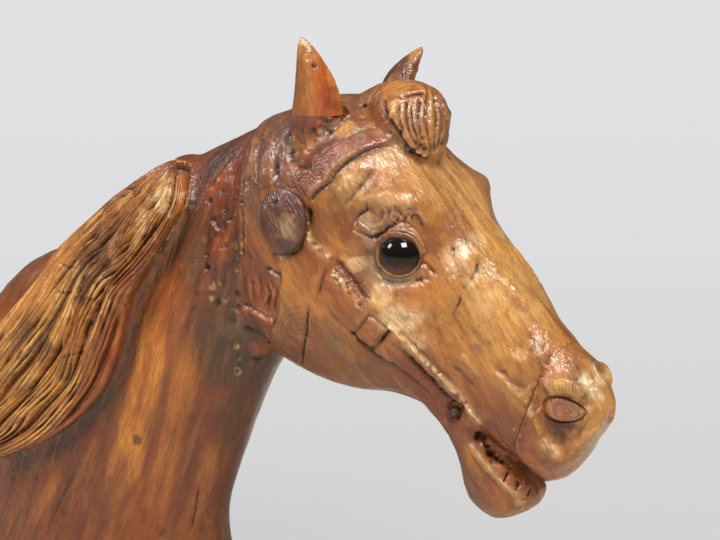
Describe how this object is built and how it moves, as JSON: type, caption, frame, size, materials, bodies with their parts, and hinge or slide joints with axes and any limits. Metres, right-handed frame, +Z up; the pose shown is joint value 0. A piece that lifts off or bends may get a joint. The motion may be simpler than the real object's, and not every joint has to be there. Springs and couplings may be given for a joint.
{
  "type": "carved wooden horse head bust",
  "caption": "Bust of a carved wooden fairground horse with an open mouth, glass eyes, a carved bridle and a one-sided mane, cut flat below.",
  "frame": {"origin": "middle of the flat cut under the neck, on the horse's middle plane", "axes": "+X the way the horse faces, +Y its left side, +Z up"},
  "size_m": [0.601, 0.1655, 0.418],
  "materials": {
    "neck_wood": "satin",
    "head_wood": "satin",
    "muzzle_wood": "satin",
    "ear_wood": "gloss",
    "rosette_wood": "satin",
    "eye_glass": "polished",
    "old_iron": "worn"
  },
  "bodies": {
    "root": {"neck_block": "neck_wood", "head_block": "head_wood", "muzzle_block": "muzzle_wood", "ear_right": "ear_wood", "ear_left": "ear_wood", "rosette_right": "rosette_wood", "rosette_left": "rosette_wood", "eye_right": "eye_glass", "eye_left": "eye_glass", "nail_right": "old_iron", "nail_left": "old_iron", "bit_stub_right": "old_iron", "bit_stub_left": "old_iron"}
  },
  "joints": []
}
